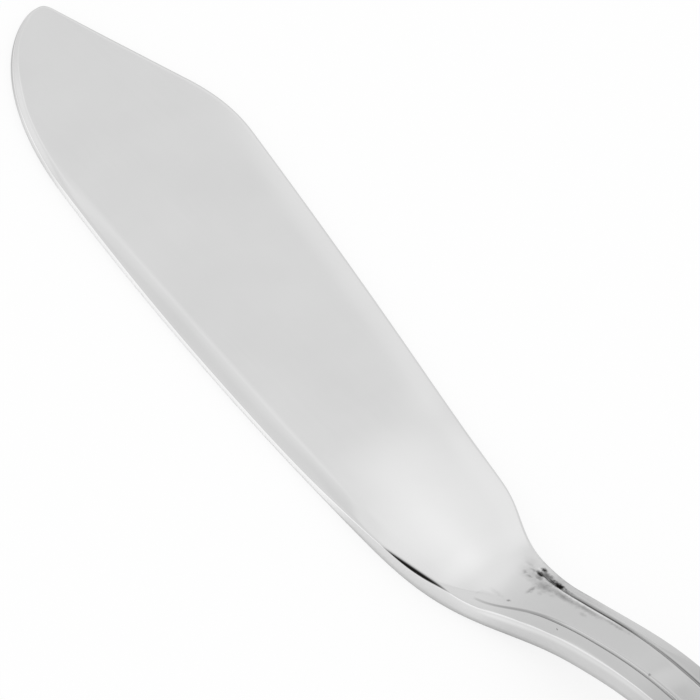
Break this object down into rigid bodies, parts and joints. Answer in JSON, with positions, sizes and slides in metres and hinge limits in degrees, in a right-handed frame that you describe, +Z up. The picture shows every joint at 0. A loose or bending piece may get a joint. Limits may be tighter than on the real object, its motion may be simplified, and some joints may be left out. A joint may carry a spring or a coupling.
{
  "type": "butter knife",
  "caption": "Polished steel butter knife: broad blade with a clipped corner and a bevelled edge, an arched neck, and a flat handle with a panel between raised rims.",
  "frame": {"origin": "on the blade's flat underside, under the handle's centre line, 32 mm ahead of the plane where the neck starts", "axes": "+X along the handle away from the blade's point, +Y from the cutting edge to the spine, +Z up from the surface that the knife lies on"},
  "size_m": [0.174, 0.0219, 0.0116],
  "materials": {
    "polished_stainless": "polished"
  },
  "bodies": {
    "root": {"blade": "polished_stainless", "neck": "polished_stainless", "handle": "polished_stainless"}
  },
  "joints": []
}
